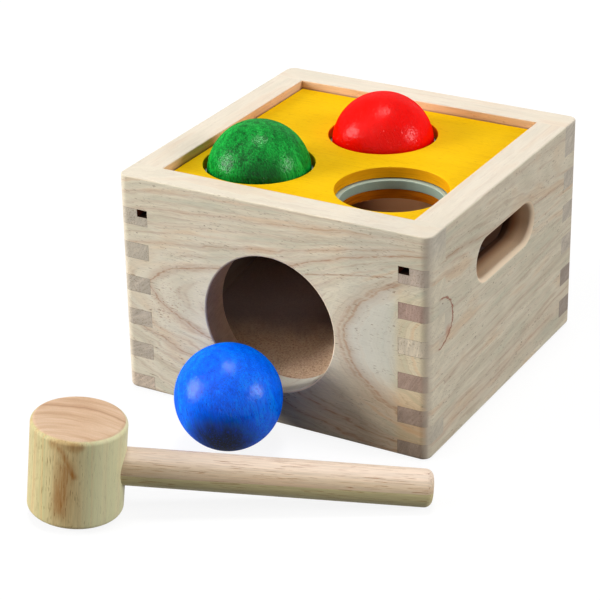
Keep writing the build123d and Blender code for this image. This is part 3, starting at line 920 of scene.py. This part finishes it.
def head_stains(paint, spot):
    """Three brown marks on the side of the head: a streak, its tail and a stain under the rim,
    each as (start, end, full within, gone beyond, strength) in the mallet's own axes."""
    marks = (
        ((-6.0, -19.5, 17.1), (0.2, -20.4, 4.6), -0.4, 2.8, 0.95),
        ((-3.4, -20.1, 8.0), (-5.2, -19.7, -12.0), -0.8, 6.5, 0.85),
        ((-9.8, -17.9, 18.4), (2.9, -20.2, 18.6), 0.0, 3.2, 0.6),
    )
    wobble = paint.swing(paint.noise((3, 3, 9), spot, shift=12), 3.5)
    stains = []
    for start, end, low, high, strength in marks:
        away = paint.add(paint.near_line(spot, start, end), wobble)
        stains.append(paint.fade(away, low, high, start=strength))
    fine = paint.noise((0.9, 0.9, 14), spot, detail=3, rough=0.65, shift=14)
    paint.lay(paint.mul(paint.most(*stains), paint.step(fine, 0.35, 0.6, start=0.6)), HEAD_STAIN)


def head_end_colour(paint, across, x, fibres):
    """The head's end: pinkish, with soft ring streaks and one dark curved ring."""
    rings = paint.join(across, paint.mul(x, 0.1), 0.0)
    broad = paint.noise((5, 3, 1), rings, shift=6)
    narrow = paint.noise((0.9, 4, 1), rings, detail=3, rough=0.6, shift=7)
    tone = paint.add(paint.mul(broad, 0.65), paint.mul(narrow, 0.35))
    colour = paint.tones(tone, HEAD_END_TONES, (0.38, 0.5, 0.62))
    ring = paint.band(across, 8.4, 0.9)
    colour = paint.mix(paint.mul(ring, 0.42), colour, HEAD_RING)
    return paint.shade(colour, paint.add(1.0, paint.swing(fibres, 0.25)))


def handle_paint():
    """Rubberwood dowel turned from glued stock: its lower side is a darker, olive strip, and its upper
    side gets painted light.
    """
    paint = Paint("mallet handle wood")
    spot = paint.turned(paint.place, mallet_origin, mallet_turn)
    x, _, z = paint.split(spot)
    slow = paint.noise((70, 6, 6), spot, shift=1)
    paint.colour = paint.tones(slow, HANDLE_TONES)
    # Painted light on the handle's upper side.
    paint.lay(paint.step(z, 3.0, 8.0, end=0.7), HANDLE_PAINTED_LIGHT)
    seam = paint.add(z, paint.mul(x, -0.012), 0.4)
    paint.lay(paint.mul(paint.fade(seam, -0.2, 0.2), 0.85), HANDLE_OLIVE)
    streaks = paint.noise((50, 0.9, 0.9), spot, detail=3, rough=0.65, shift=2)
    fibres = paint.noise((9, 0.5, 0.5), spot, rough=0.6, shift=6)
    tone = paint.add(1.0, paint.swing(streaks, 0.5), paint.swing(fibres, 0.3))
    paint.vary(tone)
    clusters = paint.noise((30, 3, 3), spot, shift=8)
    vessels = paint.vessels(spot, 9, 0.34, 0.61, shift=4)
    vessels = paint.mul(vessels, paint.step(clusters, 0.35, 0.55, start=0.35))
    paint.lay(paint.mul(vessels, 0.72), HANDLE_PORE)
    paint.bump(paint.sub(paint.mul(fibres, 0.3), vessels), 0.09)
    return paint.finish(paint.step(slow, 0.3, 0.7, start=0.4, end=0.52))


# Dress the nodes

left = side_wall_paint("left panel wood", -1, 41.0, LEFT_MARKS, LEFT_ROWS, 0.7, SIDE_TINT)
right = side_wall_paint("right panel wood", 1, 12.0, RIGHT_MARKS, RIGHT_ROWS, 1.25, RIGHT_TINT)
dress("front_panel", front_wall_paint())
dress("back_panel", back_wall_paint())
dress("left_panel", left)
dress("right_panel", right)
dress("top_plate", yellow_paint("yellow stain", 2.0, TOP_EDGE_TONES))
# The lower plate's cut edges carry painted shade as well as their browner colour.
dress("lower_plate", yellow_paint("lower yellow stain", 31.0, LOWER_EDGE_SHADE_TONES))
dress("ring_frame", plain_ply_paint())
rubber = rubber_paint()
for ring in ("front_left_ring", "front_right_ring", "back_ring"):
    dress(ring, rubber)
dress("ramp_board", hardboard_paint())
dress("plate_screws", steel_paint())
for node, *look in BALLS:
    dress(node, ball_paint(*look))
dress("mallet_head", head_paint())
dress("mallet_handle", handle_paint())

# Floor, light and camera

lamp_distance = 1.5
LAMPS = (
    # name, direction from the object to the lamp, strength, angle in degrees that it fills
    ("overhead", (0.0, 0.07, 1.0), 0.4, 15),
    ("front top", (-0.3, -0.55, 0.78), 0.16, 54),
    ("left front", (-0.8, -0.54, 0.29), 1.07, 30),
    ("right", (0.915, 0.2, 0.34), 0.52, 21),
    ("back", (-0.3, 0.9, 0.2), 0.25, 60),
)


def seen_rays(tree):
    """1 for rays from the camera, a gloss or glass, so that they all meet a white background."""
    path = tree.nodes.new("ShaderNodeLightPath")
    total = path.outputs["Is Camera Ray"]
    for name in ("Is Glossy Ray", "Is Transmission Ray"):
        node = tree.nodes.new("ShaderNodeMath")
        node.operation = "MAXIMUM"
        tree.links.new(total, node.inputs[0])
        tree.links.new(path.outputs[name], node.inputs[1])
        total = node.outputs[0]
    return total


def floor_material():
    """A matt grey that takes shadows, with a glow that makes it look white."""
    tone, glow_strength = 0.14, 0.88
    material = bpy.data.materials.new("pale floor")
    material.use_nodes = True
    tree = material.node_tree
    tree.nodes.clear()
    output = tree.nodes.new("ShaderNodeOutputMaterial")
    diffuse = tree.nodes.new("ShaderNodeBsdfDiffuse")
    diffuse.inputs["Color"].default_value = (tone, tone, tone, 1)
    glow = tree.nodes.new("ShaderNodeEmission")
    factor = tree.nodes.new("ShaderNodeMath")
    factor.operation = "MULTIPLY"
    tree.links.new(seen_rays(tree), factor.inputs[0])
    factor.inputs[1].default_value = glow_strength
    tree.links.new(factor.outputs[0], glow.inputs["Strength"])
    both = tree.nodes.new("ShaderNodeAddShader")
    tree.links.new(diffuse.outputs[0], both.inputs[0])
    tree.links.new(glow.outputs[0], both.inputs[1])
    tree.links.new(both.outputs[0], output.inputs[0])
    return material


def pale_floor():
    """A wide table top just under the object."""
    reach, drop = 6.0, 0.0002
    corners = [(-reach, -reach, 0), (reach, -reach, 0), (reach, reach, 0), (-reach, reach, 0)]
    mesh = bpy.data.meshes.new("floor")
    mesh.from_pydata(corners, [], [(0, 1, 2, 3)])
    mesh.materials.append(floor_material())
    floor = bpy.data.objects.new("floor", mesh)
    bpy.context.scene.collection.objects.link(floor)
    floor.location.z = -drop


def soft_world(strength):
    """An even pale room, seen as white."""
    world = bpy.data.worlds.new("studio")
    bpy.context.scene.world = world
    world.use_nodes = True
    tree = world.node_tree
    background = tree.nodes["Background"]
    background.inputs["Color"].default_value = (1, 1, 1, 1)
    amount = tree.nodes.new("ShaderNodeMapRange")
    tree.links.new(seen_rays(tree), amount.inputs["Value"])
    amount.inputs["To Min"].default_value = strength
    amount.inputs["To Max"].default_value = 1.0
    tree.links.new(amount.outputs[0], background.inputs["Strength"])


def lamp(name, towards, strength, spread):
    """A large soft lamp far away."""
    data = bpy.data.lights.new(name, "SUN")
    data.energy = strength * math.pi
    data.angle = math.radians(spread)
    item = bpy.data.objects.new(name, data)
    item.rotation_euler = Vector(towards).to_track_quat("Z", "Y").to_euler()
    item.location = Vector(towards).normalized() * lamp_distance
    bpy.context.scene.collection.objects.link(item)


def photo_camera():
    """The camera that the photograph was taken with, as fitted to the box's edges."""
    azimuth, elevation, roll = math.radians(29.671), math.radians(25.763), math.radians(-0.994)
    aim, distance = Vector((-0.0177, -0.02138, 0.033)), 1.0381
    frame_pixels, focal_pixels, sensor = 600, 2209.1, 36.0
    flat = math.cos(elevation)
    back = Vector((math.sin(azimuth) * flat, -math.cos(azimuth) * flat, math.sin(elevation)))
    right = Vector((math.cos(azimuth), math.sin(azimuth), 0))
    up = back.cross(right)
    turned_right = right * math.cos(roll) + up * math.sin(roll)
    turned_up = up * math.cos(roll) - right * math.sin(roll)
    data = bpy.data.cameras.new("camera")
    data.sensor_fit = "HORIZONTAL"
    data.sensor_width = sensor
    data.lens = focal_pixels / frame_pixels * sensor
    data.clip_start, data.clip_end = 0.01, 50.0
    camera = bpy.data.objects.new("camera", data)
    matrix = Matrix((turned_right, turned_up, back)).transposed().to_4x4()
    matrix.translation = aim + back * distance
    camera.matrix_world = matrix
    bpy.context.scene.collection.objects.link(camera)
    bpy.context.scene.camera = camera


pale_floor()
soft_world(0.125)
for settings in LAMPS:
    lamp(*settings)
photo_camera()
bpy.context.scene.view_settings.view_transform = "Standard"
